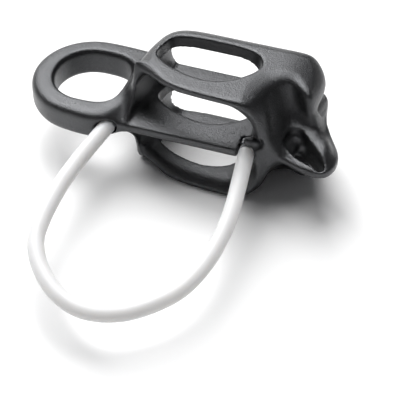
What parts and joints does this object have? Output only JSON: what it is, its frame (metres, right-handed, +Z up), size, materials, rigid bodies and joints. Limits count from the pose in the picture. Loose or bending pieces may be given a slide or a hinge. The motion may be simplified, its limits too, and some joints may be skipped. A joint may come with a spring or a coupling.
{
  "type": "guide mode belay device",
  "caption": "Two-slot tubular belay and rappel device with an anchor eye for guide mode, toothed brake grooves, a release hole in its nose and a springy keeper loop.",
  "frame": {"origin": "bottom centre of the box round the body, keeper loop left out, with the device lying on its lower outer plate", "axes": "+X from the anchor ring to the nose, +Y from the keeper loop's side to the far side, +Z up through the three plates"},
  "size_m": [0.0856, 0.0885, 0.0328],
  "materials": {
    "anodised": "charcoal anodised over a blasted forging, satin",
    "swaged_steel": "plain",
    "cable_cover": "smooth white cover, satin"
  },
  "bodies": {
    "root": {"forged_body": "anodised", "cable_end_left": "swaged_steel", "cable_end_right": "swaged_steel"},
    "keeper": {"keeper_cable": "cable_cover"}
  },
  "joints": [
    {"name": "keeper_flex", "type": "hinge", "parent": "root", "child": "keeper", "pos_m": [0.00122, -0.01206, 0.0162], "axis": [-0.9995, -0.0323, 0], "range_deg": [-9, 9], "stiffness_Nm_per_rad": 0.2}
  ]
}
